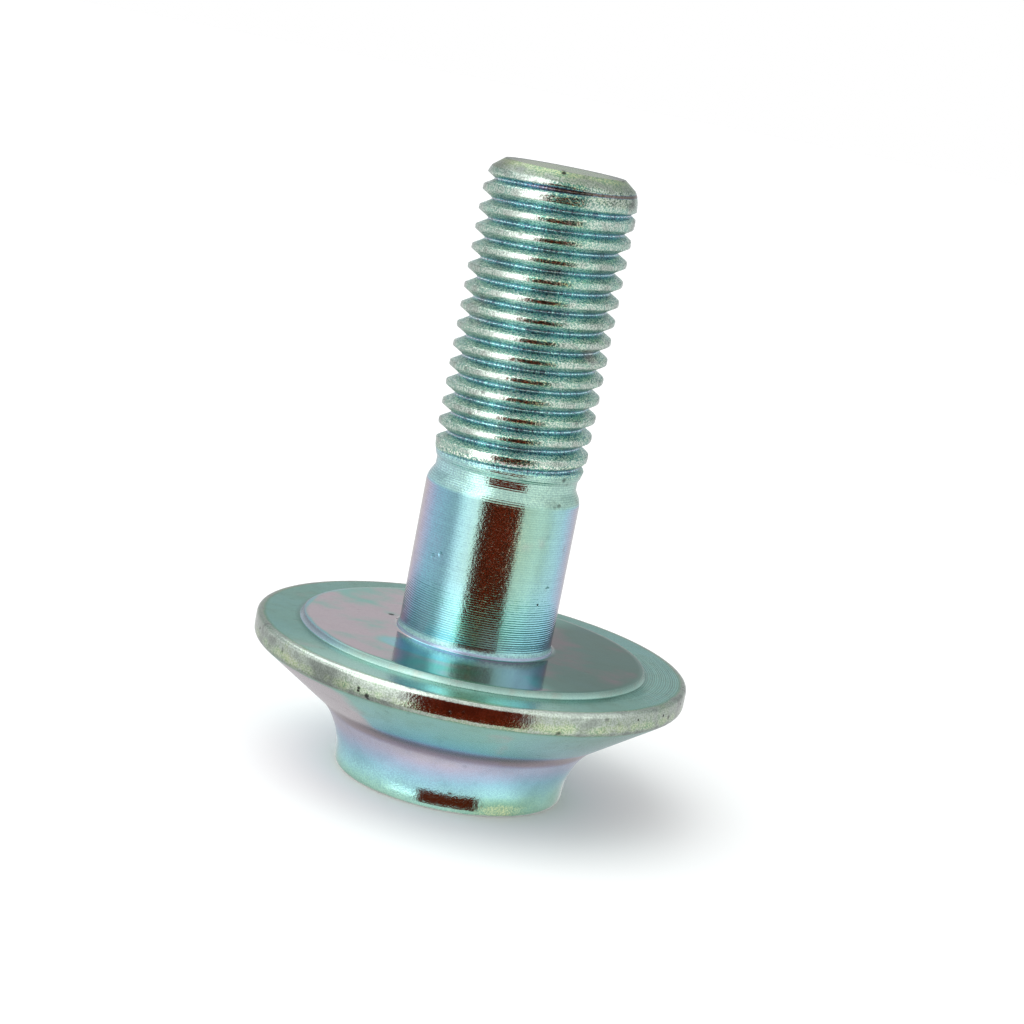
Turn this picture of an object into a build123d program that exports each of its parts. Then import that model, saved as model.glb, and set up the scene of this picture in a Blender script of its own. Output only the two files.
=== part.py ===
from build123d import *
from math import atan, ceil, cos, degrees, dist, floor, radians, tan
import os

# Swing arm bolt, one forged and turned piece. Sizes are in millimetres.
# It stands on the end face of its head, at Z = 0, with its axis on +Z.

# Boss: the round end of the head, with the key socket in its end face
BOSS_DIAMETER = 18.0
BOSS_CORNER_ROUND = 0.85
BOSS_HEIGHT = 3.9
BOSS_DRAFT_ANGLE = 5.5

# Trumpet: above the boss the head sweeps out through a round and a cone
TRUMPET_ROUND = 4.3

# Flange: a thick disc with a rounded rim
FLANGE_DIAMETER = 34.0
FLANGE_TOP_HEIGHT = 11.1
RIM_HEIGHT = 1.65
RIM_ROUND = 0.75

# Seat: the raised flat ring that bears on the swing arm
SEAT_DIAMETER = 27.4
SEAT_HEIGHT = 0.45
SEAT_BEVEL = 0.3

# Shank: the plain bearing length between the seat and the shoulder
SHANK_DIAMETER = 12.0
SHANK_LENGTH = 12.1
SHANK_BASE_ROUND = 0.3

# Neck: the shoulder slopes down to a short relief below the thread
SHOULDER_LENGTH = 0.85
SHOULDER_ROUND = 1.5
NECK_DIAMETER = 11.02
NECK_LENGTH = 0.5

# Each round is a run of short flats: two on a sweep or an outer edge, one on a small edge
LARGE_ROUND_FLATS = 2
SMALL_ROUND_FLATS = 1

# Thread: 12 mm nominal by 1.5 mm pitch, right-handed, a V groove between narrow flat crests
THREAD_DIAMETER = 11.82
THREAD_LENGTH = 23.4
THREAD_PITCH = 1.5
CREST_WIDTH = 0.3
GROOVE_DEPTH = 0.6

# Run-out: above the neck the crests rise to full size, and the groove fades in over two turns
CREST_RUN_OUT = 2.4
GROOVE_RUN_OUT = 2.2
FADE_TURNS = 2
FULL_GROOVE_ANGLE = 180.0
LEAST_GROOVE_SHARE = 0.02

# Bolt end: a short chamfer, and a slight lead over the first crests
END_FACE_DIAMETER = 9.2
END_CHAMFER_LENGTH = 0.7
LEAD_DIAMETER = 10.9
LEAD_LENGTH = 2.0

# Socket: a flat-bottomed hexagon for a 10 mm key, with a coned lead-in
SOCKET_ACROSS_FLATS = 10.0
SOCKET_DEPTH = 6.0
SOCKET_LEAD_IN = 0.45

# How far a trimming or cutting shape stands clear of the surface that it passes
CLEARANCE = 0.1

boss_radius = BOSS_DIAMETER / 2
flange_radius = FLANGE_DIAMETER / 2
seat_radius = SEAT_DIAMETER / 2
shank_radius = SHANK_DIAMETER / 2
neck_radius = NECK_DIAMETER / 2
crest_radius = THREAD_DIAMETER / 2
lead_radius = LEAD_DIAMETER / 2
end_face_radius = END_FACE_DIAMETER / 2

seat_level = FLANGE_TOP_HEIGHT + SEAT_HEIGHT
shoulder_level = seat_level + SHANK_LENGTH
neck_level = shoulder_level + SHOULDER_LENGTH
run_out_level = neck_level + NECK_LENGTH
end_level = run_out_level + THREAD_LENGTH
chamfer_level = end_level - END_CHAMFER_LENGTH

half_groove_width = (THREAD_PITCH - CREST_WIDTH) / 2
groove_start_level = run_out_level + GROOVE_RUN_OUT - FADE_TURNS * THREAD_PITCH


def turn_solid(outline):
    """A solid turned about Z from a closed outline of radius and height points."""
    return revolve(Plane.XZ * make_face(Polyline(*outline, close=True)), axis=Axis.Z).solid()


def round_corner(before, corner, after, radius, flats):
    """The points that take a corner of an outline round in flats, on an arc of this radius."""
    lines = FilletPolyline(before, corner, after, radius=radius)
    arc = lines.edges().filter_by(GeomType.CIRCLE)[0]
    points = [arc @ (step / flats) for step in range(flats + 1)]
    return sorted(((point.X, point.Y) for point in points), key=lambda point: dist(point, before))


def make_body():
    """The turned body, from the end face of the head to the top of the neck."""
    waist_radius = boss_radius + BOSS_HEIGHT * tan(radians(BOSS_DRAFT_ANGLE))
    end_centre = (0, 0)
    boss_edge = (boss_radius, 0)
    waist = (waist_radius, BOSS_HEIGHT)
    rim_bottom = (flange_radius, FLANGE_TOP_HEIGHT - RIM_HEIGHT)
    rim_top = (flange_radius, FLANGE_TOP_HEIGHT)
    seat_foot = (seat_radius, FLANGE_TOP_HEIGHT)
    seat_edge = (seat_radius - SEAT_BEVEL, seat_level)
    shank_foot = (shank_radius, seat_level)
    shoulder = (shank_radius, shoulder_level)
    neck_foot = (neck_radius, neck_level)
    return turn_solid([
        end_centre,
        *round_corner(end_centre, boss_edge, waist, BOSS_CORNER_ROUND, LARGE_ROUND_FLATS),
        *round_corner(boss_edge, waist, rim_bottom, TRUMPET_ROUND, LARGE_ROUND_FLATS),
        *round_corner(waist, rim_bottom, rim_top, RIM_ROUND, LARGE_ROUND_FLATS),
        *round_corner(rim_bottom, rim_top, seat_foot, RIM_ROUND, LARGE_ROUND_FLATS),
        seat_foot,
        seat_edge,
        *round_corner(seat_edge, shank_foot, shoulder, SHANK_BASE_ROUND, SMALL_ROUND_FLATS),
        *round_corner(shank_foot, shoulder, neck_foot, SHOULDER_ROUND, SMALL_ROUND_FLATS),
        neck_foot,
        (neck_radius, run_out_level),
        (0, run_out_level),
    ])


def groove_points(turn):
    """Radius and height of the groove's lower lip, bottom and upper lip, after this many turns."""
    share = min(max(turn / FADE_TURNS, LEAST_GROOVE_SHARE), 1)
    level = groove_start_level + turn * THREAD_PITCH
    return [
        (crest_radius, level - half_groove_width * share),
        (crest_radius - GROOVE_DEPTH * share, level),
        (crest_radius, level + half_groove_width * share),
    ]


def wind_line(start, end):
    """One turn of a spiral line, from one radius and height to another."""
    rise = end[1] - start[1]
    taper = atan((end[0] - start[0]) / rise)
    spiral = Helix(rise / cos(taper), rise, start[0], cone_angle=degrees(taper))
    return Pos(0, 0, start[1]) * spiral.edge()


def close_bar_end(line, step):
    """A ramp from a spiral line in to the axis, and the flat step between the ramp's two ends."""
    foot = (0, step[0][1])
    head = (0, step[-1][1])
    ramp = Face.make_surface_from_curves(line, Edge.make_line((0, *foot), (0, *head)))
    return [ramp, Plane.XZ * make_face(Polyline(foot, *step, head, close=True)).face()]


def make_threaded_bar():
    """A bar with the groove wound round it. Its ends lie past the ends of the thread."""
    first_turn = floor((run_out_level - groove_start_level) / THREAD_PITCH) - 1
    last_turn = ceil((end_level - groove_start_level) / THREAD_PITCH) + 1
    stations = [groove_points(turn) for turn in range(first_turn, last_turn + 1)]
    lines = []
    for lower, upper in zip(stations, stations[1:]):
        lines += [wind_line(start, end) for start, end in zip(lower, upper)]
    faces = [Face.make_surface_from_curves(one, other) for one, other in zip(lines, lines[1:])]
    faces += close_bar_end(lines[0], [*stations[0], stations[1][0]])
    faces += close_bar_end(lines[-1], [stations[-2][-1], *stations[-1]])
    return Rot(0, 0, FULL_GROOVE_ANGLE - 360 * FADE_TURNS) * Solid(Shell(faces))


def make_thread():
    """The threaded length: the bar with its crests turned down at the run-out, lead and chamfer."""
    run_out_slope = CREST_RUN_OUT / (crest_radius - neck_radius)
    lead_slope = LEAD_LENGTH / (crest_radius - lead_radius)
    clear_radius = crest_radius + CLEARANCE
    turned_shape = turn_solid([
        (0, run_out_level),
        (neck_radius, run_out_level),
        (clear_radius, run_out_level + run_out_slope * (clear_radius - neck_radius)),
        (clear_radius, chamfer_level - lead_slope * (clear_radius - lead_radius)),
        (lead_radius, chamfer_level),
        (end_face_radius, end_level),
        (0, end_level),
    ])
    return make_threaded_bar() & turned_shape


def make_socket():
    """The space of the key socket: a hexagon with a coned lead-in at its mouth."""
    flat_radius = SOCKET_ACROSS_FLATS / 2
    corner_radius = flat_radius / cos(radians(30))
    hexagon = extrude(RegularPolygon(corner_radius, 6), SOCKET_DEPTH)
    lead_in = Cone(
        corner_radius + CLEARANCE,
        flat_radius,
        SOCKET_LEAD_IN,
        align=(Align.CENTER, Align.CENTER, Align.MIN),
    )
    return hexagon + lead_in


bolt = (make_body() + make_thread()).cut(make_socket())
os.makedirs("parts", exist_ok=True)
export_step(bolt, "parts/swing_arm_bolt.step")
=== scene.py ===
from collections import namedtuple
from math import cos, hypot, pi, radians, sin, tan

import bmesh
import bpy
import numpy as np
from mathutils import Matrix, Vector


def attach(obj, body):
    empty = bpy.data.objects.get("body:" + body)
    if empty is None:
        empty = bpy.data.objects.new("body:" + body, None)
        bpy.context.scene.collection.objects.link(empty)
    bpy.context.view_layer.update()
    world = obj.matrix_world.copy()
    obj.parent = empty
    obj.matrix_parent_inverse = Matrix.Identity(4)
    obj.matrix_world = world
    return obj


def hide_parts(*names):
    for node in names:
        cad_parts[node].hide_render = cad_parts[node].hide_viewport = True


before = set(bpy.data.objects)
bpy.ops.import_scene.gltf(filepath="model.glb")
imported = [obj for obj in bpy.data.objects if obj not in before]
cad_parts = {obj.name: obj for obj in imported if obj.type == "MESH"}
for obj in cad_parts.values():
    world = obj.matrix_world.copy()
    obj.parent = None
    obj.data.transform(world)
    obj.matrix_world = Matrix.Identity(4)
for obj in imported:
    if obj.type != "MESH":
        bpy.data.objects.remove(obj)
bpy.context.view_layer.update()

# Swing arm bolt, plated steel. Sizes here are in millimetres, and the mesh is made in metres.
# Azimuths are in degrees from the camera's side of the bolt (-Y), and grow to the camera's right (+X).
MM = 0.001

# Head: boss, trumpet, flange and seat
BOSS_RADIUS = 9.02
BOSS_CORNER = 0.45
WAIST_RADIUS = 9.25
WAIST_HEIGHT = 3.9
TRUMPET_ROUND = 5.5
FLANGE_RADIUS = 16.99
RIM_LOW = 9.45
RIM_HIGH = 11.1
RIM_LOW_CORNER = 0.6
RIM_HIGH_CORNER = 0.75
RIM_FULLNESS = 4.5
SEAT_FOOT_RADIUS = 13.68
SEAT_FOOT_CORNER = 0.08
SEAT_RADIUS = 13.45
SEAT_CORNER = 0.1
SEAT_LEVEL = 11.55

# Shank and neck. The shank's foot is a low double ring, given by radius and height.
SHANK_RADIUS = 6.0
FOOT_RADIUS = 6.17
FOOT_TOP_LEVEL = 11.97
SHANK_FOOT = [
    (FOOT_RADIUS, SEAT_LEVEL),
    (6.15, 11.6),
    (6.14, 11.68),
    (6.1, 11.76),
    (6.05, 11.8),
    (6.04, 11.88),
    (SHANK_RADIUS, FOOT_TOP_LEVEL),
]
SHOULDER_LEVEL = 23.65
SHOULDER_ROUND = 1.5
NECK_RADIUS = 5.5
NECK_LEVEL = 24.5
NECK_CORNER = 0.15
THREAD_FOOT_LEVEL = 25.0

# Thread: a groove of 60 degrees with a rounded root, wound between rounded crests
CREST_RADIUS = 5.91
THREAD_PITCH = 1.5
GROOVE_DEPTH = 0.85
FLANK_SLOPE = 1 / tan(radians(30))
ROOT_SOFTNESS = 0.08
CREST_SOFTNESS = 0.035

# The groove's centre stands at this height at this angle from +X
GROOVE_LEVEL = 27.2
GROOVE_ANGLE = radians(180)

# Share of its depth that the groove has at each height, and how much less on the right near the end
FADE_LEVELS = [25.4, 25.7, 26.1, 26.45, 26.85, 27.2, 46.2, 46.7, 47.1, 47.5]
FADE_SHARES = [0.0, 0.14, 0.44, 0.66, 0.87, 1.0, 1.0, 0.9, 0.6, 0.25]
SHALLOW_SIDE_LEVELS = [43.5, 45.5]
SHALLOW_SIDE_SHARE = 0.5

# Waves in the worn crests: height, count round one turn, and twist for each millimetre of height
CREST_WAVES = [(0.012, 5, 2.1), (0.01, 13, -3.7)]

# What the crests are turned down to at the run-out, and at the lead and the end chamfer
RUN_OUT_LEVELS = [25.0, 25.2, 25.5, 26.1, 27.2]
RUN_OUT_RADII = [5.5, 5.51, 5.66, 5.81, CREST_RADIUS]
CHAMFER_LEVEL = 47.7
END_LEVEL = 48.4
END_FACE_RADIUS = 4.6
END_LEVELS = [45.7, 46.9, 47.4, CHAMFER_LEVEL, END_LEVEL]
END_RADII = [CREST_RADIUS, 5.8, 5.66, 5.5, END_FACE_RADIUS]

# Socket: a hexagon with a coned lead-in
SOCKET_APOTHEM = 5.0
SOCKET_DEPTH = 6.0
SOCKET_MOUTH_RADIUS = 5.87
SOCKET_LEAD_IN = 0.45

# Fineness of the mesh
COLUMNS = 216
ROW_STEP = 0.36
GROOVE_ROWS = [0, 0.07, 0.16, 0.3, 0.43, 0.51, 0.57, 0.64]
SPARE_TURNS = 3
END_FACE_RINGS = [1, 0.97, 0.85, 0.7, 0.5, 0.3, 0.12, 0.0]
SOCKET_LEVELS = [0, 0.1, 0.2, 0.3, 0.4, SOCKET_LEAD_IN, 0.7, 1.5, 3, 4.5, 5.9, SOCKET_DEPTH]
SOCKET_RINGS = [1, 0.75, 0.5, 0.25, 0]
MERGE_DISTANCE = 0.004

# Camera: at the photograph's viewing angle
CAMERA_POSITION = (0, -179.66, 56.85)
CAMERA_PITCH = radians(11.02)
CAMERA_YAW = radians(0.317)
CAMERA_ROLL = radians(-11.14)
FOCAL_PIXELS = 2372.5
FRAME_PIXELS = 1024
SENSOR_WIDTH = 36.0
CLIP_START = 0.01

# Light and floor
KEY_DIRECTION = (0.35, 0.25, -0.65)
KEY_ANGLE = radians(70)
KEY_ENERGY = 1.0
FLOOR_RADIUS = 3.0


# Outline of the turned body

def corner(before, point, after, reach, steps, fullness=2.0):
    """Points round a corner of an outline, from reach before it to reach after it."""
    before, point, after = Vector(before), Vector(point), Vector(after)
    start = point + (before - point).normalized() * reach
    finish = point + (after - point).normalized() * reach
    points = []
    for step in range(steps + 1):
        angle = pi / 2 * step / steps
        to_start = 1 - sin(angle) ** (2 / fullness)
        to_finish = 1 - cos(angle) ** (2 / fullness)
        points.append(point + (start - point) * to_start + (finish - point) * to_finish)
    return [tuple(p) for p in points]


def corner_reach(before, point, after, radius):
    """How far from a corner a round of this radius begins."""
    before, point, after = Vector(before), Vector(point), Vector(after)
    turn = pi - (before - point).angle(after - point)
    return radius * tan(turn / 2)


def fill(points):
    """The same outline with its long runs divided into steps."""
    filled = [points[0]]
    for (radius, level), (next_radius, next_level) in zip(points, points[1:]):
        run, rise = next_radius - radius, next_level - level
        count = max(1, round(hypot(run, rise) / ROW_STEP))
        for step in range(1, count + 1):
            filled.append((radius + run * step / count, level + rise * step / count))
    return filled


def body_outline():
    """Radius and height from the socket's mouth round the head and up to the foot of the thread."""
    mouth = (SOCKET_MOUTH_RADIUS, 0)
    edge = (BOSS_RADIUS, 0)
    waist = (WAIST_RADIUS, WAIST_HEIGHT)
    rim_low = (FLANGE_RADIUS, RIM_LOW)
    rim_high = (FLANGE_RADIUS, RIM_HIGH)
    seat_foot = (SEAT_FOOT_RADIUS, RIM_HIGH)
    seat = (SEAT_RADIUS, SEAT_LEVEL)
    shank = SHANK_FOOT[-1]
    shoulder = (SHANK_RADIUS, SHOULDER_LEVEL)
    neck = (NECK_RADIUS, NECK_LEVEL)
    thread = (NECK_RADIUS, THREAD_FOOT_LEVEL)
    trumpet_reach = corner_reach(edge, waist, rim_low, TRUMPET_ROUND)
    shoulder_reach = corner_reach(shank, shoulder, neck, SHOULDER_ROUND)
    return fill([
        mouth,
        *corner(mouth, edge, waist, BOSS_CORNER, steps=6),
        *corner(edge, waist, rim_low, trumpet_reach, steps=10),
        *corner(waist, rim_low, rim_high, RIM_LOW_CORNER, steps=7, fullness=RIM_FULLNESS),
        *corner(rim_low, rim_high, seat_foot, RIM_HIGH_CORNER, steps=7, fullness=RIM_FULLNESS),
        *corner(rim_high, seat_foot, seat, SEAT_FOOT_CORNER, steps=2),
        *corner(seat_foot, seat, SHANK_FOOT[0], SEAT_CORNER, steps=2),
        *SHANK_FOOT,
        *corner(shank, shoulder, neck, shoulder_reach, steps=5),
        *corner(shoulder, neck, thread, NECK_CORNER, steps=3),
        thread,
    ])


# Surface of the thread

def soft_max(a, b, softness):
    """The greater of two values, with the change from one to the other rounded off."""
    return (a + b + np.sqrt((a - b) ** 2 + softness ** 2)) / 2


def envelope_radius(level):
    """The turned radius that the crests reach: run-out, full size, lead and end chamfer."""
    return np.interp(level, RUN_OUT_LEVELS + END_LEVELS, RUN_OUT_RADII + END_RADII)


def groove_offset(angle, level):
    """The distance up the bolt from the nearest groove's centre, and that centre's height."""
    turns = (level - GROOVE_LEVEL) / THREAD_PITCH - (angle - GROOVE_ANGLE) / (2 * pi)
    offset = (turns - np.round(turns)) * THREAD_PITCH
    return offset, level - offset


def thread_radius(angle, level):
    """The radius of the thread's surface, with worn and slightly uneven crests."""
    offset, centre = groove_offset(angle, level)
    share = np.interp(centre, FADE_LEVELS, FADE_SHARES)
    right_side = np.maximum(np.cos(angle), 0) * np.interp(centre, SHALLOW_SIDE_LEVELS, [0, 1])
    share = share * (1 - SHALLOW_SIDE_SHARE * right_side)
    groove = GROOVE_DEPTH + FLANK_SLOPE * (ROOT_SOFTNESS - np.hypot(offset, ROOT_SOFTNESS))
    groove = soft_max(groove - GROOVE_DEPTH * (1 - share), 0, CREST_SOFTNESS)
    waves = [height * np.sin(count * angle + twist * centre) for height, count, twist in CREST_WAVES]
    unevenness = sum(waves)
    crest = CREST_RADIUS - np.abs(unevenness) - np.maximum(groove, 0)
    return np.minimum(crest, envelope_radius(level))


# Mesh of the bolt: rows of points round the axis, joined into faces

def column_angles():
    """The angle of each column of points, from +X."""
    return np.arange(COLUMNS) * 2 * pi / COLUMNS


class Skin:
    """Collects rows of points and the faces between them."""

    def __init__(self):
        self.rows = []
        self.faces = []
        self.count = 0

    def add_row(self, radius, level, travel):
        """A row of one point for each column. Radius, level and travel may differ by column."""
        angle = column_angles()
        radius = np.broadcast_to(radius, COLUMNS)
        level = np.broadcast_to(level, COLUMNS)
        travel = np.broadcast_to(travel, COLUMNS)
        x, y = radius * np.cos(angle), radius * np.sin(angle)
        self.rows.append(np.stack([x, y, level, travel], axis=1))
        self.count += 1
        return self.count - 1

    def add_face(self, *corners):
        """A face from the row and column of each of its corners."""
        self.faces.append([row * COLUMNS + column for row, column in corners])

    def join(self, low, high):
        """Faces between two rows."""
        for column in range(COLUMNS):
            after = (column + 1) % COLUMNS
            self.add_face((low, column), (low, after), (high, after), (high, column))

    def points(self):
        """The position and travel of every point."""
        return np.concatenate(self.rows)


def add_socket(skin):
    """The key socket: a coned lead-in, six flat walls and a flat bottom."""
    hexagon = SOCKET_APOTHEM / np.cos(column_angles() % (pi / 3) - pi / 6)
    slope = (SOCKET_MOUTH_RADIUS - SOCKET_APOTHEM) / SOCKET_LEAD_IN
    walls = []
    for level in SOCKET_LEVELS:
        radius = np.maximum(hexagon, SOCKET_MOUTH_RADIUS - slope * level)
        walls.append(skin.add_row(radius, level, -level))
    for low, high in zip(walls, walls[1:]):
        skin.join(high, low)
    rings = [skin.add_row(hexagon * share, SOCKET_DEPTH, -SOCKET_DEPTH) for share in SOCKET_RINGS]
    for outer, inner in zip(rings, rings[1:]):
        skin.join(inner, outer)


def add_body(skin):
    """The head, shank and neck, from the socket's mouth upwards. Gives the travel along the outline."""
    outline = body_outline()
    travel = 0
    row = skin.add_row(*outline[0], travel)
    for before, point in zip(outline, outline[1:]):
        travel += hypot(point[0] - before[0], point[1] - before[1])
        previous, row = row, skin.add_row(*point, travel)
        skin.join(previous, row)
    return travel


def add_thread(skin, travel):
    """The thread: rows that follow the groove, flattened where they pass its two end planes."""
    offsets = sorted(set([-row for row in GROOVE_ROWS] + GROOVE_ROWS + [THREAD_PITCH / 2]))
    per_turn = len(offsets)
    angle = column_angles()
    lead = (angle - GROOVE_ANGLE) / (2 * pi)
    first_turn = int((THREAD_FOOT_LEVEL - GROOVE_LEVEL) / THREAD_PITCH) - SPARE_TURNS
    last_turn = int((END_LEVEL - GROOVE_LEVEL) / THREAD_PITCH) + SPARE_TURNS
    first_row = skin.count
    for turn in range(first_turn, last_turn + 1):
        for offset in offsets:
            level = GROOVE_LEVEL + THREAD_PITCH * (turn + lead) + offset
            level = np.clip(level, THREAD_FOOT_LEVEL, END_LEVEL)
            skin.add_row(thread_radius(angle, level), level, travel + level - THREAD_FOOT_LEVEL)
    last = COLUMNS - 1
    for row in range(first_row, skin.count - 1):
        for column in range(last):
            skin.add_face((row, column), (row, column + 1), (row + 1, column + 1), (row + 1, column))
        turn_on = row + per_turn
        if turn_on + 1 < skin.count:
            skin.add_face((row, last), (turn_on, 0), (turn_on + 1, 0), (row + 1, last))
    return travel + END_LEVEL - THREAD_FOOT_LEVEL


def add_end_face(skin, travel):
    """The flat end of the bolt, closed in to its centre."""
    radii = [END_FACE_RADIUS * share for share in END_FACE_RINGS]
    rings = [skin.add_row(radius, END_LEVEL, travel + END_FACE_RADIUS - radius) for radius in radii]
    for outer, inner in zip(rings, rings[1:]):
        skin.join(outer, inner)


# Finish of the plating, point by point

# Where the rim's finish gives way to the flange's, and limits that lie clear of the surface
RIM_FINISH_RADIUS = 16.35
ABOVE_HEAD = 13
ABOVE_BOLT = 60
OUTSIDE = 20


def mix(a, b, share):
    """From a to b, as share goes from nothing to one."""
    return a + (b - a) * share


def window(value, low, high, softness):
    """One between low and high, fading to nothing across each limit."""
    rise = np.clip((value - low) / softness + 0.5, 0, 1)
    fall = np.clip((high - value) / softness + 0.5, 0, 1)
    return rise * rise * (3 - 2 * rise) * fall * fall * (3 - 2 * fall)


class Finish:
    """Values of the plating that are laid on the bolt's points, one zone after another.

    film: how thick the film is, which sets its colour.   pale: how much pale silver shows through it.
    blush: share of a pink, cloudy coating.               wear: how far edges are rubbed down to silver.
    shade: its brightness, 1 for plain plating; it holds dirt, painted shade and painted highlights.
    rough: roughness of the metal.
    marks: height of the turning marks.                   grit: height and contrast of the fine grain.
    pits: how many small dark pits there are.

    Each point has an azimuth, and a folded azimuth of -90 to 90 that is the same on the far half.
    """

    def __init__(self, x, y, level):
        self.radius = np.hypot(x, y)
        self.level = level
        self.angle = np.arctan2(y, x)
        self.azimuth = np.degrees(np.arctan2(x, -y))
        self.folded = (self.azimuth + 90) % 180 - 90
        names = ("film", "pale", "blush", "wear", "shade", "rough", "marks", "grit", "pits")
        self.values = {name: np.zeros_like(level) for name in names}

    def lay(self, share, **values):
        """Lay these values over the earlier ones, as far as share covers them."""
        for name, value in values.items():
            self.values[name] = mix(self.values[name], value, share)

    def between(self, low, high, softness=0.02):
        """Where the height lies between these."""
        return window(self.level, low, high, softness)

    def within(self, inner, outer, softness=0.02):
        """Where the radius lies between these."""
        return window(self.radius, inner, outer, softness)

    def facing(self, low, high, softness):
        """Where the azimuth lies between these."""
        return window(self.azimuth, low, high, softness)

    def facing_both(self, low, high, softness):
        """Where the folded azimuth lies between these, on the near and on the far half."""
        return window(self.folded, low, high, softness)


def finish_underside(f):
    """Teal cone, pink at its sides and faintly in its middle, a crease, and a boss of every colour, with
    painted light and shade on the cone and the crease.
    """
    levels = [0, 0.6, 1.4, 2.2, 3.0, 3.9, 4.9, 5.4, 6.2, 7.5, 9.4]
    films = [0.88, 0.82, 0.72, 0.63, 0.53, 0.4, 0.38, 0.46, 0.68, 0.75, 0.8]
    film = np.interp(f.level, levels, films) + 0.06 * f.facing(15, 155, 40) * f.between(1, 6, 2)
    f.lay(1, film=film, pale=0.25, blush=-0.2, shade=1.17, rough=0.26, grit=0.2, pits=0.2)
    cone = f.between(5, 9.3, 1.2)
    from_middle = np.abs(f.folded - 15)
    teal = window(from_middle, -1, 50, 40)
    # Painted light: the cone's pink sides are made brighter.
    f.lay(cone * (1 - teal), blush=0.9, shade=1.42)
    # Painted shade: the cone is made darker at its right.
    f.lay(cone * f.facing(30, 150, 50), shade=0.86)
    # The crease gets a lilac film and painted shade: it is darkened where the fillet meets the cone.
    crease = f.between(4.7, 5.7, 0.6) * f.facing(-60, 75, 40)
    f.lay(crease, film=0.38, pale=0.05, blush=0.5, shade=0.64)
    boss_left = f.between(1, 4.5, 1) * f.facing(-120, -48, 30)
    f.lay(boss_left, blush=0.42)
    f.lay(f.between(-1, 2.2, 0.8), rough=0.1, grit=0.45)
    boss_front = f.between(0.1, 1.3, 0.6) * f.facing(16, 44, 34)
    f.lay(boss_front, film=0.95, pale=0.1, shade=0.9)
    boss_right = f.between(-1, 4, 2) * f.facing(40, 160, 30)
    f.lay(boss_right, shade=0.98)
    f.lay(f.between(-1, 0.2, 0.25) * f.within(7.5, 10), wear=0.75)


def finish_rim(f):
    """Silver with yellow-green patches and pitted; darkened by painted shade where the bright panel is
    mirrored, and worn to silver with a painted highlight along its upper edge in front.
    """
    rim = f.between(RIM_LOW - 0.1, RIM_HIGH + 0.2, 0.3) * f.within(RIM_FINISH_RADIUS, OUTSIDE, 0.35)
    lower = f.between(RIM_LOW + 0.15, RIM_LOW + 0.8, 0.4)
    # Where the bright panel is mirrored, the face gets painted shade and the top edge a stronger painted
    # highlight.
    glare = f.facing(-42, -14, 14)
    wear = mix(0.7, 0.5, lower)
    shade = mix(mix(0.8, 0.95, lower), 0.6, glare)
    f.lay(rim, film=0.97, pale=0.1, blush=0, wear=wear, shade=shade, rough=0.13, grit=0.7, pits=1.0)
    # The top edge is worn to silver and made brighter, a painted highlight.
    top_edge = rim * f.between(RIM_HIGH - 0.32, RIM_HIGH + 0.2, 0.16) * f.facing(-60, 45, 20)
    f.lay(top_edge, wear=0.8, shade=mix(1.2, 1.5, glare), pits=0.5)


def finish_flange(f):
    """The flange's flat ring, with turning marks at the right, painted light in front and painted shade
    by the bevel, and the bevel up to the seat.
    """
    ring = f.between(RIM_HIGH - 0.15, ABOVE_HEAD)
    ring = ring * f.within(SEAT_FOOT_RADIUS - 0.02, RIM_FINISH_RADIUS + 0.05)
    # Painted light: the ring is made brighter and paler in front, where the shank is mirrored.
    front = f.facing(-50, 25, 40)
    marks = 0.2 + 3.3 * f.facing(62, 112, 25)
    # Painted shade: the ring is darkened just outside the bevel's foot.
    painted_shade_at_bevel_foot = mix(0.7, 1, f.within(SEAT_FOOT_RADIUS + 0.25, OUTSIDE, 0.3))
    f.lay(ring, film=0.8, pale=mix(0.1, 0.42, front), wear=0, shade=mix(0.93, 1.4, front) * painted_shade_at_bevel_foot)
    f.lay(ring, rough=0.2, marks=marks, grit=0.5, pits=0.2)
    left_side = f.facing(-120, -48, 30)
    f.lay(ring * left_side, blush=0.1)
    bevel = f.between(RIM_HIGH + 0.03, SEAT_LEVEL + 0.02)
    bevel = bevel * f.within(SEAT_RADIUS - 0.12, SEAT_FOOT_RADIUS + 0.02)
    upper_edge = f.between(SEAT_LEVEL - 0.14, ABOVE_HEAD, 0.12)
    f.lay(bevel, film=mix(0.8, 0.48, left_side), pale=0.45, wear=mix(0.35, 0, left_side))
    f.lay(bevel, shade=mix(1.0, 0.62, upper_edge))


def finish_seat(f):
    """The cloudy seat: pink and bright at the left, more teal at the right, and darkened there with
    painted shade.
    """
    seat = f.between(SEAT_LEVEL - 0.02, SEAT_LEVEL + 0.05)
    seat = seat * f.within(FOOT_RADIUS - 0.01, SEAT_RADIUS - 0.1)
    left = f.facing(-150, -20, 50)
    # Painted shade: the seat is darkened from the front round to the right, and kept bright at the left.
    right_painted_shade = f.facing(-8, 150, 30)
    far_right = f.facing(40, 150, 30)
    inner = f.within(5, 9.6, 2)
    blush = mix(mix(0.35, 0.75, inner), 0.7, left)
    blush = mix(blush, mix(0.22, 0.6, inner), far_right)
    shade = mix(1.34, mix(0.54, 0.42, far_right), right_painted_shade)
    f.lay(seat, film=0.82, pale=0.05, blush=blush, wear=0, shade=shade)
    f.lay(seat, rough=0.09, marks=0.06, grit=0.15, pits=0.1)
    blue_patch = seat * f.within(5, 9.3, 1.5) * f.facing(-50, 2, 20)
    f.lay(blue_patch, film=0.62, pale=0.25, blush=-0.2)
    # Painted reflection: pinker and lighter where the shank's lilac edge is mirrored in the seat.
    violet_patch = seat * f.within(7.5, 14, 2) * f.facing(6, 28, 12)
    f.lay(violet_patch, blush=0.85, shade=0.95)


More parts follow.
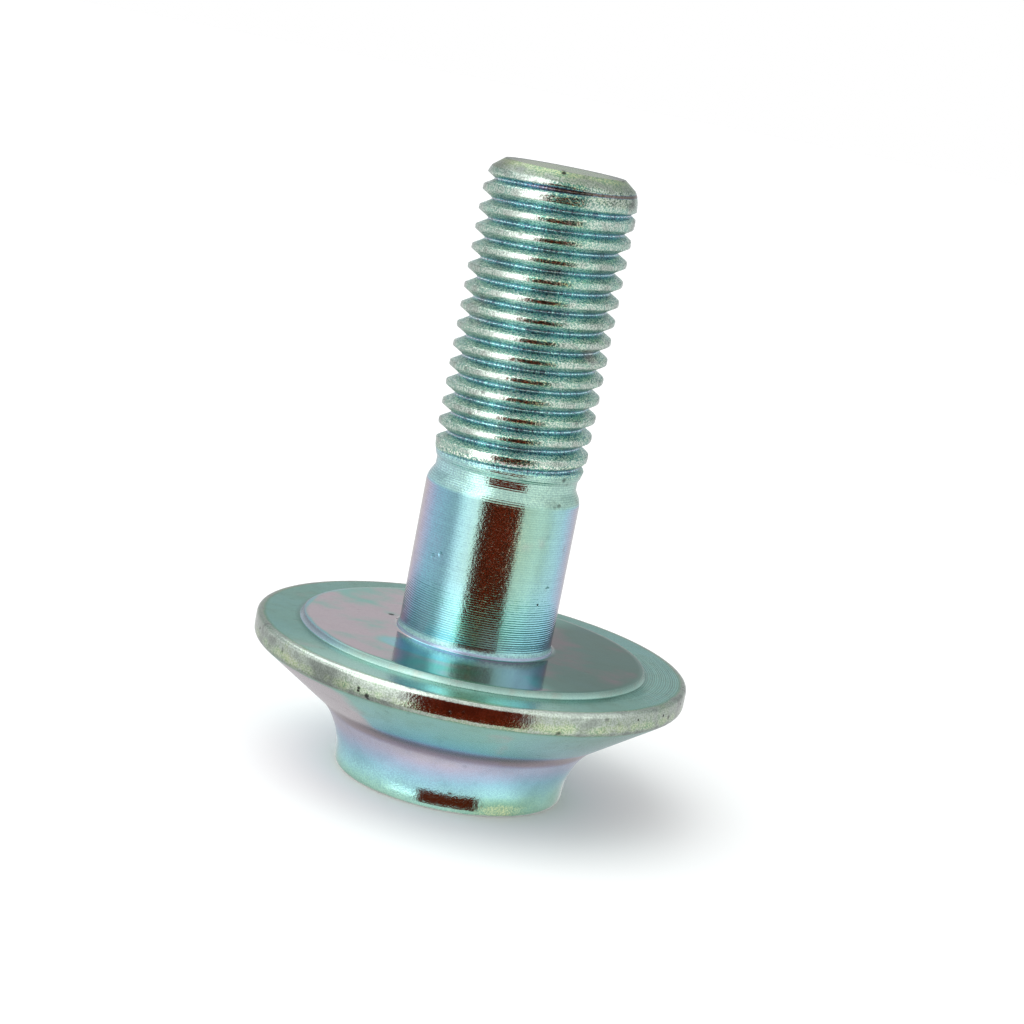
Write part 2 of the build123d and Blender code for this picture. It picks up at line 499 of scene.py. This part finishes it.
def finish_shank(f):
    """From pink through blue, cyan and yellow-green to lilac round each half, over fine turning marks,
    with painted light and shade.
    """
    shank = f.between(FOOT_TOP_LEVEL + 0.03, SHOULDER_LEVEL - 0.1, 0.3)
    shank = shank * f.within(SHANK_RADIUS - 0.5, SHANK_RADIUS + 0.2)
    # Painted light and shade: the shades by azimuth darken the shank where the bright panel is mirrored
    # and low at the left where the seat is mirrored, and brighten it elsewhere.
    azimuths = [-90, -72, -52, -32, -18, 0, 22, 38, 52, 70, 90]
    upper_films = [0.25, 0.35, 0.57, 0.66, 0.74, 0.97, 0.88, 0.8, 0.7, 0.48, 0.25]
    lower_films = [0.32, 0.44, 0.64, 0.69, 0.72, 0.9, 0.76, 0.68, 0.65, 0.54, 0.32]
    upper_shades = [1.09, 1.12, 0.92, 0.68, 0.62, 0.8, 0.97, 1.04, 1.08, 1.02, 1.09]
    lower_shades = [0.99, 0.95, 0.7, 0.82, 1.08, 1, 1.15, 1.36, 1.36, 1.2, 0.99]
    upper_film, lower_film, upper_shade, lower_shade = [
        np.interp(f.folded, azimuths, values)
        for values in (upper_films, lower_films, upper_shades, lower_shades)
    ]
    # Painted highlight: the paleness rises towards the front to whiten the mirrored bright panel.
    upper_pale = np.interp(f.folded, [-90, -72, -52, -32, -18, 0], [0.3, 0.2, 0.12, 0.2, 0.4, 0.3])
    upper = f.between(15.5, ABOVE_BOLT, 5)
    film = mix(lower_film, upper_film, f.between(16.5, ABOVE_BOLT, 6))
    shade = mix(lower_shade, upper_shade, upper)
    f.lay(shank, film=film, pale=mix(0.1, upper_pale, upper), blush=0, wear=0, shade=shade)
    marks = np.interp(f.folded, [-60, -25, 0, 20, 40, 90], [1.3, 0.8, 0.55, 0.9, 1.2, 1.3])
    front = f.facing_both(-11, 14, 9)
    grit = 0.35 + 0.75 * front * mix(0.5, 1, upper)
    f.lay(shank, rough=0.11 + 0.05 * front * upper, marks=marks, grit=grit, pits=0.15)
    foot = f.between(SEAT_LEVEL + 0.005, FOOT_TOP_LEVEL)
    foot = foot * f.within(SHANK_RADIUS - 0.1, SHANK_RADIUS + 0.3)
    f.lay(foot, film=0.7, pale=0.4, blush=-0.2, shade=0.85, rough=0.36, marks=0, grit=1)
    foot_ring = foot * f.between(11, 11.78, 0.04)
    f.lay(foot_ring, film=0.5, pale=0.25, rough=0.2, grit=0.2)


def finish_neck(f):
    """Pale yellow-green, bluer at the left, with coarser turning marks and a few pits at the right."""
    neck = f.between(SHOULDER_LEVEL - 0.1, THREAD_FOOT_LEVEL + 1.1, 0.5) * f.within(5, 6.05)
    film = np.interp(f.azimuth, [-180, -90, -60, -30, 0], [0.84, 0.66, 0.68, 0.76, 0.84])
    pits = 0.9 * f.facing(35, 160, 20)
    f.lay(neck, film=film, pale=0.42, wear=0, shade=1.05, rough=0.13, marks=1.4, grit=0.75, pits=pits)


def finish_thread(f):
    """Grainy sage flanks brightened in front with painted light, darker beside the root with painted
    shade, and a smoother and bluer root.
    """
    thread = f.between(THREAD_FOOT_LEVEL + 0.9, END_LEVEL + 1, 0.6) * f.within(4, 6.1)
    offset = groove_offset(f.angle, f.level)[0]
    film = mix(0.92, 0.82, window(offset, -0.5, -0.05, 0.3))
    pale = np.interp(f.folded, [-90, -60, -15, 20, 60, 90], [0.16, 0.272, 0.24, 0.16, 0.08, 0.16])
    # Painted light: the flanks are brightened most in front, where they mirror the dark brown panel.
    shades = [1.2, 1.32, 1.2, 1.8, 1.85, 1.1, 1.2]
    shade = np.interp(f.folded, [-90, -60, -35, -5, 20, 45, 90], shades)
    f.lay(thread, film=film, pale=pale, blush=0, wear=0.38, shade=shade)
    f.lay(thread, rough=0.3, marks=0, grit=2.8, pits=0.4)
    # Painted shade: the groove beside the root is darkened, with a bluer film.
    beside_root = thread * window(np.abs(offset), 0.05, 0.24, 0.1) * f.facing_both(-60, 72, 40)
    f.lay(beside_root, film=0.68, pale=0.05, wear=0.1, shade=0.66)
    root = thread * window(offset, -0.07, 0.07, 0.08)
    film = np.interp(f.folded, [-90, -60, -35, 0, 60, 90], [0.33, 0.42, 0.6, 0.64, 0.55, 0.33])
    f.lay(root, film=film, pale=0.4, wear=0, shade=1.2, rough=0.2, grit=2.4)


def finish_crests(f):
    """Crests rubbed to silver, rougher and darker in front with painted shade, with a painted highlight
    left of front, and pitted at the end of the thread.
    """
    offset = groove_offset(f.angle, f.level)[0]
    depth = envelope_radius(f.level) - f.radius
    crest = f.between(THREAD_FOOT_LEVEL + 1.3, END_LEVEL, 0.4) * window(depth, -1, 0.09, 0.16)
    crest = crest * mix(window(np.abs(offset), 0.54, 1, 0.15), 1, f.between(28, ABOVE_BOLT, 1))
    # In front the crests are rougher and less worn, and darkened where the brown panel is mirrored, as
    # painted shade.
    front = f.facing(-14, 20, 12)
    f.lay(crest, film=0.88, pale=mix(0.3, 0, front), wear=mix(0.56, 0.3, front), shade=mix(1, 0.8, front))
    f.lay(crest, rough=mix(0.12, 0.16, front), grit=mix(1.3, 2, front), pits=0.6)
    # Painted highlight: left of front, where the bright panel is mirrored, the crests are made brighter
    # and more silver.
    f.lay(crest * f.facing(-36, -8, 16), wear=0.8, shade=1.3, rough=0.16, grit=0.8)
    last_crests = f.between(46.5, END_LEVEL, 0.5) * f.facing_both(25, 72, 36)
    f.lay(last_crests, film=1, wear=0.5, shade=0.7, grit=2.6, pits=1.6)


def finish_end(f):
    """The end face and its chamfer: silver with yellow-green patches, and darker round the back with
    painted shade.
    """
    end = f.between(CHAMFER_LEVEL - 0.05, END_LEVEL + 1, 0.1)
    f.lay(end, film=0.97, pale=0.1, wear=0.55, shade=0.68, rough=0.26, marks=0.3, grit=0.9, pits=0.8)
    f.lay(f.between(END_LEVEL - 0.3, END_LEVEL + 1, 0.2), wear=0.36, shade=0.84, grit=0.7)
    # Painted shade: the ring round the back of the end face is darkened, for a dark far edge.
    back = window(np.abs(f.azimuth), 70, 200, 60) * f.within(3.4, 6, 0.6)
    f.lay(f.between(END_LEVEL - 0.05, END_LEVEL + 1, 0.05) * back, wear=0.6, shade=0.34)
    offset, centre = groove_offset(f.angle, f.level)
    closed_groove = window(centre, 47, 48, 0.2) * window(offset, -0.1, 0.1, 0.08)
    f.lay(closed_groove, film=0.2, pale=0, wear=0.2, shade=0.3, grit=2)


def finish_socket(f):
    """Forged walls, thinly plated."""
    socket = f.within(-1, SOCKET_MOUTH_RADIUS + 0.01) * f.between(-1, SOCKET_DEPTH + 0.5)
    f.lay(socket, film=0.6, pale=0.2, blush=0, wear=0.35, shade=0.9)
    f.lay(socket, rough=0.3, marks=0, grit=0.8, pits=0.3)


def finish_values(x, y, level):
    """Every value of the finish at these points."""
    f = Finish(x, y, level)
    finish_underside(f)
    finish_rim(f)
    finish_flange(f)
    finish_seat(f)
    finish_shank(f)
    finish_neck(f)
    finish_thread(f)
    finish_crests(f)
    finish_end(f)
    finish_socket(f)
    return f.values


def build_bolt(material):
    """The whole bolt as one closed mesh."""
    skin = Skin()
    add_socket(skin)
    travel = add_body(skin)
    travel = add_thread(skin, travel)
    add_end_face(skin, travel)
    points = skin.points()
    mesh = bpy.data.meshes.new("bolt_plated")
    mesh.from_pydata((points[:, :3] * MM).tolist(), [], skin.faces)
    values = finish_values(points[:, 0], points[:, 1], points[:, 2])
    values["travel"] = points[:, 3]
    for name, value in values.items():
        mesh.attributes.new(name, "FLOAT", "POINT").data.foreach_set("value", value.astype(np.float32))
    work = bmesh.new()
    work.from_mesh(mesh)
    bmesh.ops.remove_doubles(work, verts=work.verts, dist=MERGE_DISTANCE * MM)
    bmesh.ops.recalc_face_normals(work, faces=work.faces)
    work.to_mesh(mesh)
    work.free()
    mesh.shade_smooth()
    mesh.materials.append(material)
    piece = bpy.data.objects.new("bolt_plated", mesh)
    bpy.context.scene.collection.objects.link(piece)
    return piece


# Shader nodes

class Graph:
    """Short calls to make and link the nodes of one material or world."""

    def __init__(self, tree):
        self.tree = tree
        tree.nodes.clear()

    def node(self, kind, inputs=None, **settings):
        """A node with these settings, and its inputs linked or set."""
        node = self.tree.nodes.new(kind)
        for name, value in settings.items():
            setattr(node, name, value)
        for name, value in (inputs or {}).items():
            if isinstance(value, bpy.types.NodeSocket):
                self.tree.links.new(value, node.inputs[name])
            else:
                node.inputs[name].default_value = value
        return node

    def math(self, operation, a, b=0.0):
        return self.node("ShaderNodeMath", {0: a, 1: b}, operation=operation).outputs[0]

    def add(self, first, *others):
        for other in others:
            first = self.math("ADD", first, other)
        return first

    def multiply(self, first, *others):
        for other in others:
            first = self.math("MULTIPLY", first, other)
        return first

    def subtract(self, a, b):
        return self.math("SUBTRACT", a, b)

    def swing(self, texture, amount):
        """A texture of 0 to 1 made to swing to both sides of nothing, by half of this amount."""
        return self.multiply(self.subtract(texture, 0.5), amount)

    def dim(self, value, share, amount):
        """A value lowered by this amount of itself where share is one."""
        return self.multiply(value, self.subtract(1.0, self.multiply(share, amount)))

    def attribute(self, name):
        return self.node("ShaderNodeAttribute", attribute_name=name).outputs["Fac"]

    def noise(self, vector, scale, detail=2.0, roughness=0.5):
        inputs = {"Vector": vector, "Scale": scale, "Detail": detail, "Roughness": roughness}
        return self.node("ShaderNodeTexNoise", inputs).outputs[0]

    def step(self, value, low, high):
        """Nothing below low, one above high, and smooth between."""
        inputs = {0: value, 1: low, 2: high}
        return self.node("ShaderNodeMapRange", inputs, interpolation_type="SMOOTHSTEP").outputs[0]

    def mix(self, share, a, b, blend="MIX"):
        """A mix of two colours. The node's inputs 0, 6 and 7 are its share and its two colours."""
        inputs = {0: share, 6: a, 7: b}
        return self.node("ShaderNodeMix", inputs, data_type="RGBA", blend_type=blend).outputs[2]


def linear(red, green, blue):
    """A colour from its display values of 0 to 255."""
    values = [channel / 255 for channel in (red, green, blue)]
    return (*[v / 12.92 if v <= 0.04045 else ((v + 0.055) / 1.055) ** 2.4 for v in values], 1)


# The colours that the plating's film passes through as it gets thicker
FILM_COLOURS = [
    (0.00, linear(200, 202, 194)),
    (0.10, linear(206, 206, 170)),
    (0.20, linear(204, 186, 172)),
    (0.30, linear(198, 172, 178)),
    (0.42, linear(178, 168, 200)),
    (0.52, linear(154, 176, 212)),
    (0.62, linear(128, 190, 215)),
    (0.72, linear(128, 196, 203)),
    (0.80, linear(125, 188, 174)),
    (0.90, linear(122, 173, 144)),
    (0.98, linear(190, 202, 152)),
    (1.08, linear(184, 182, 172)),
    (1.18, linear(190, 172, 176)),
    (1.30, linear(178, 162, 186)),
]
FILM_LIMIT = 1.3
SILVER = linear(188, 199, 190)
PALE = linear(214, 232, 226)
BLUSH = linear(198, 178, 186)
SPECULAR_TINT = (0.78, 0.77, 0.78, 1)

# Scales of the noise textures, from clouds to single grains
BROAD_SCALE = 160
MIDDLE_SCALE = 700
FINE_SCALE = 4200
GRAIN_SCALE = 8200

# Scales of the pits' cells, each with one pit at most, and of the patches that the pits lie in
PIT_SCALE = 900
PIT_PATCH_SCALE = 320

# Turning marks: the tool's feed for each turn, and the scale of deeper single scores
FEED_PITCH = 0.178
SCORE_SCALE = 2.6

# Height of the bump for a height of one, in metres
BUMP_HEIGHT = 0.00001

# Nicks filled with dirt, on the rim, the seat, the shank and the edge of the bolt's end.
# Each spot has an azimuth, a radius and a height, and then its size.
NICKS = [
    (-23.5, 17.0, 9.65, 0.25),
    (-23.2, 17.0, 9.45, 0.2),
    (-26, 17.0, 10.05, 0.15),
    (-26, 17.0, 9.85, 0.15),
    (62, 17.0, 10.4, 0.16),
    (75, 17.0, 10.6, 0.14),
    (50, 17.0, 10.5, 0.12),
    (-71, 17.0, 10.4, 0.14),
    (-64, 16.8, 10.7, 0.12),
    (-106.5, 7.05, 11.55, 0.4),
    (-99.5, 6.3, 11.55, 0.14),
    (45, 6.0, 16.0, 0.12),
    (-1, 4.75, 48.28, 0.24),
    (-2, 4.2, 48.4, 0.22),
    (-3, 3.3, 48.4, 0.26),
]

# Shallow dents in the shank that keep their plating, given in the same way
DENTS = [
    (-45, 6.0, 18.1, 0.34),
    (-38, 6.0, 18.5, 0.28),
    (52, 6.0, 17.2, 0.3),
    (66, 6.0, 20.3, 0.3),
]


class Plating:
    """The nodes of the plated steel, and the textures that they share."""

    def __init__(self, g):
        self.g = g
        self.place = g.node("ShaderNodeTexCoord").outputs["Object"]
        self.broad = g.noise(self.place, BROAD_SCALE, 2)
        self.middle = g.noise(self.place, MIDDLE_SCALE, 3)
        self.fine = g.noise(self.place, FINE_SCALE, 3, 0.6)
        self.grain = g.step(g.noise(self.place, GRAIN_SCALE, 1), 0.34, 0.66)
        self.grit = g.attribute("grit")
        self.speckle = g.multiply(g.subtract(self.grain, 0.5), self.grit)
        self.nick = self.hollows(NICKS)
        self.pit = g.math("MAXIMUM", self.random_pits(), self.nick)
        self.feed = self.turning_marks()

    def hollows(self, spots):
        """How deep each point lies in the nearest of these spots, from nothing to one."""
        g = self.g
        deepest = 0.0
        for azimuth, radius, level, size in spots:
            turn = radians(azimuth)
            spot = Vector((radius * sin(turn), -radius * cos(turn), level)) * MM
            away = g.node("ShaderNodeVectorMath", {0: self.place, 1: spot}, operation="DISTANCE")
            depth = g.subtract(1.0, g.step(away.outputs["Value"], size * MM * 0.3, size * MM))
            deepest = g.math("MAXIMUM", depth, deepest)
        return deepest

    def random_pits(self):
        """Small round pits, in patches that spread where there are many."""
        g = self.g
        pits = g.attribute("pits")
        inputs = {"Vector": self.place, "Scale": PIT_SCALE, "Randomness": 1.0}
        cells = g.node("ShaderNodeTexVoronoi", inputs)
        patches = g.add(g.noise(self.place, PIT_PATCH_SCALE, 2), g.multiply(pits, 0.1))
        pit = g.subtract(1.0, g.step(cells.outputs["Distance"], 0.1, 0.28))
        return g.multiply(pit, g.step(patches, 0.55, 0.66), pits)

    def turning_marks(self):
        """Even waves of the tool's feed, with stronger and weaker stretches, and single scores."""
        g = self.g
        travel = g.attribute("travel")
        phase = g.add(g.multiply(travel, 2 * pi / FEED_PITCH), g.multiply(self.middle, 2.5))
        strength = g.add(0.3, g.multiply(self.fine, 1.4))
        waves = g.multiply(g.math("SINE", phase), strength)
        inputs = {"W": travel, "Scale": SCORE_SCALE, "Detail": 2.0, "Roughness": 0.6}
        scores = g.node("ShaderNodeTexNoise", inputs, noise_dimensions="1D").outputs[0]
        return g.multiply(g.add(waves, g.swing(scores, 2.2)), g.attribute("marks"))

    def film_colour(self):
        """The colour of the film, which varies a little with every texture."""
        g = self.g
        clouds = g.add(g.swing(self.broad, 0.14), g.swing(self.middle, 0.06))
        film = g.add(g.attribute("film"), clouds, g.multiply(self.speckle, 0.1))
        ramp = g.node("ShaderNodeValToRGB", {0: g.math("DIVIDE", film, FILM_LIMIT)})
        stops = ramp.color_ramp.elements
        while len(stops) < len(FILM_COLOURS):
            stops.new(0.5)
        for stop, (thickness, colour) in zip(stops, FILM_COLOURS):
            stop.position = thickness / FILM_LIMIT
            stop.color = colour
        return ramp.outputs[0]

    def brightness(self):
        """The laid-on brightness with its painted shade and highlights, lowered by pits, nicks, blotches,
        grain and turning marks.
        """
        g = self.g
        shade = g.dim(g.attribute("shade"), self.pit, 0.72)
        shade = g.dim(shade, self.nick, 0.8)
        blotches = g.multiply(g.step(self.middle, 0.48, 0.66), g.attribute("pits"))
        shade = g.dim(shade, blotches, 0.3)
        shade = g.multiply(shade, g.add(1.0, g.multiply(self.speckle, 0.45)))
        return g.multiply(shade, g.add(1.0, g.multiply(self.feed, 0.06)))

    def colour(self):
        """The film with its pink clouds, pale and worn places, and dirt, painted shade and painted
        highlights.
        """
        g = self.g
        cloud = g.add(g.attribute("blush"), g.swing(self.broad, 1.9), g.swing(self.middle, 0.5))
        wear = g.add(g.attribute("wear"), g.swing(self.middle, 0.9), g.multiply(self.speckle, 0.25))
        colour = g.mix(g.step(cloud, 0.25, 0.75), self.film_colour(), BLUSH)
        colour = g.mix(g.attribute("pale"), colour, PALE)
        colour = g.mix(g.step(wear, 0.3, 0.75), colour, SILVER)
        shade = self.brightness()
        grey = g.node("ShaderNodeCombineColor", {0: shade, 1: shade, 2: shade}).outputs[0]
        return g.mix(1.0, colour, grey, "MULTIPLY")

    def roughness(self):
        """The metal's roughness, and the dull dirt in the nicks."""
        g = self.g
        return g.add(g.attribute("rough"), g.swing(self.fine, 0.12), g.multiply(self.nick, 0.6))

    def normal(self):
        """Bumps of the turning marks and the grain, less the pits, nicks and dents."""
        g = self.g
        rubble = g.add(g.multiply(self.fine, 2.3), g.multiply(self.grain, 0.18))
        height = g.add(g.multiply(self.feed, 0.34), g.multiply(rubble, self.grit))
        height = g.subtract(height, g.multiply(self.pit, 3.0))
        height = g.subtract(height, g.multiply(self.hollows(DENTS), 5.0))
        inputs = {"Height": height, "Strength": 1.0, "Distance": BUMP_HEIGHT}
        return g.node("ShaderNodeBump", inputs).outputs[0]


def plated_steel():
    """Zinc-plated steel: a shimmering film over turned metal, worn to silver on its edges and crests."""
    material = bpy.data.materials.new("zinc_plated_steel")
    material.use_nodes = True
    g = Graph(material.node_tree)
    plating = Plating(g)
    shader = g.node("ShaderNodeBsdfPrincipled", {
        "Base Color": plating.colour(),
        "Metallic": g.subtract(1.0, plating.nick),
        "Specular Tint": SPECULAR_TINT,
        "Roughness": plating.roughness(),
        "Normal": plating.normal(),
    })
    g.node("ShaderNodeOutputMaterial", {"Surface": shader.outputs[0]})
    return material


def floor_material():
    """Plain pale matt paper."""
    material = bpy.data.materials.new("pale_paper")
    material.use_nodes = True
    g = Graph(material.node_tree)
    place = g.node("ShaderNodeTexCoord").outputs["Object"]
    inputs = {"Height": g.noise(place, 900, 2), "Strength": 0.05, "Distance": 0.0001}
    bump = g.node("ShaderNodeBump", inputs)
    shader = g.node("ShaderNodeBsdfPrincipled", {
        "Base Color": (0.9, 0.9, 0.9, 1),
        "Roughness": 0.9,
        "Normal": bump.outputs[0],
    })
    g.node("ShaderNodeOutputMaterial", {"Surface": shader.outputs[0]})
    return material


# Studio: floor, surroundings, light and camera

def make_floor():
    """A round floor that stays out of the metal's reflections."""
    mesh = bpy.data.meshes.new("floor")
    work = bmesh.new()
    bmesh.ops.create_circle(work, cap_ends=True, segments=96, radius=FLOOR_RADIUS)
    work.to_mesh(mesh)
    work.free()
    mesh.materials.append(floor_material())
    floor = bpy.data.objects.new("floor", mesh)
    bpy.context.scene.collection.objects.link(floor)
    floor.visible_glossy = False


# The surroundings are one colour with patches on it. Each patch has the azimuths and the elevations, in
# degrees, between which it lies, and how soft its sides, its foot and its top are.
Patch = namedtuple("Patch", "azimuths elevations sides foot top colour")
SURROUNDINGS = (0.9, 0.91, 0.91, 1)
PATCHES = [
    Patch((110, 260), (5, 40), sides=25, foot=25, top=25, colour=(0.62, 0.66, 0.66, 1)),
    Patch((90, 270), (-100, -25), sides=30, foot=1, top=20, colour=(0.7, 0.72, 0.72, 1)),
    Patch((185, 290), (38, 85), sides=30, foot=20, top=10, colour=(1.5, 1.55, 1.55, 1)),
    Patch((38, 75), (-60, 60), sides=14, foot=14, top=14, colour=(1.05, 1.07, 1.05, 1)),
    Patch((-59, -22), (-25, 70), sides=24, foot=8, top=10, colour=(2.1, 2.12, 2.12, 1)),
    Patch((-27, 36), (-33, 13), sides=5, foot=3, top=9, colour=(0.17, 0.02, 0.008, 1)),
]


def make_surroundings():
    """A soft white studio, as the metal reflects it: a bright panel at the left, a brown one in front."""
    world = bpy.data.worlds.new("studio")
    bpy.context.scene.world = world
    world.use_nodes = True
    g = Graph(world.node_tree)
    direction = g.node("ShaderNodeTexCoord").outputs["Generated"]
    axes = g.node("ShaderNodeSeparateXYZ", {0: direction})
    azimuth = g.math("ARCTAN2", axes.outputs[0], g.multiply(axes.outputs[1], -1.0))
    azimuth = g.multiply(azimuth, 180 / pi)
    elevation = g.multiply(g.math("ARCSINE", axes.outputs[2]), 180 / pi)
    whole_turn = g.math("WRAP", azimuth, 360.0)
    colour = SURROUNDINGS
    for patch in PATCHES:
        left, right = patch.azimuths
        low, high = patch.elevations
        turned = whole_turn if right > 180 else azimuth
        past_left = g.step(turned, left - patch.sides / 2, left + patch.sides / 2)
        past_right = g.step(turned, right - patch.sides / 2, right + patch.sides / 2)
        past_foot = g.step(elevation, low - patch.foot / 2, low + patch.foot / 2)
        past_top = g.step(elevation, high - patch.top / 2, high + patch.top / 2)
        share = g.subtract(g.subtract(g.multiply(past_left, past_foot), past_right), past_top)
        colour = g.mix(g.math("MAXIMUM", share, 0.0), colour, patch.colour)
    seen = g.node("ShaderNodeBackground", {"Color": (1, 1, 1, 1), "Strength": 1.0})
    mirrored = g.node("ShaderNodeBackground", {"Color": colour, "Strength": 1.0})
    is_seen = g.node("ShaderNodeLightPath").outputs["Is Camera Ray"]
    both = g.node("ShaderNodeMixShader", {0: is_seen, 1: mirrored.outputs[0], 2: seen.outputs[0]})
    g.node("ShaderNodeOutputWorld", {"Surface": both.outputs[0]})


def make_key_light():
    """Broad soft light from the upper left in front, for the floor. The metal doesn't mirror it."""
    lamp = bpy.data.lights.new("key", "SUN")
    lamp.angle = KEY_ANGLE
    lamp.energy = KEY_ENERGY
    key = bpy.data.objects.new("key", lamp)
    bpy.context.scene.collection.objects.link(key)
    key.rotation_euler = Vector(KEY_DIRECTION).to_track_quat("-Z", "Y").to_euler()
    key.visible_glossy = False


def make_camera():
    """A camera that stands, turns and rolls as the photograph's did."""
    camera = bpy.data.cameras.new("camera")
    camera.sensor_width = SENSOR_WIDTH
    camera.lens = FOCAL_PIXELS / FRAME_PIXELS * SENSOR_WIDTH
    camera.clip_start = CLIP_START
    forward = Vector((
        sin(CAMERA_YAW) * cos(CAMERA_PITCH),
        cos(CAMERA_YAW) * cos(CAMERA_PITCH),
        -sin(CAMERA_PITCH),
    ))
    level_right = Vector((cos(CAMERA_YAW), -sin(CAMERA_YAW), 0))
    level_up = level_right.cross(forward)
    right = level_right * cos(CAMERA_ROLL) - level_up * sin(CAMERA_ROLL)
    up = level_right * sin(CAMERA_ROLL) + level_up * cos(CAMERA_ROLL)
    turn = Matrix((right, up, -forward)).transposed().to_4x4()
    viewer = bpy.data.objects.new("camera", camera)
    viewer.matrix_world = Matrix.Translation(Vector(CAMERA_POSITION) * MM) @ turn
    bpy.context.scene.collection.objects.link(viewer)
    bpy.context.scene.camera = viewer


bolt = build_bolt(plated_steel())
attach(bolt, "root")
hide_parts("swing_arm_bolt")
make_floor()
make_surroundings()
make_key_light()
make_camera()
bpy.context.scene.view_settings.view_transform = "Standard"
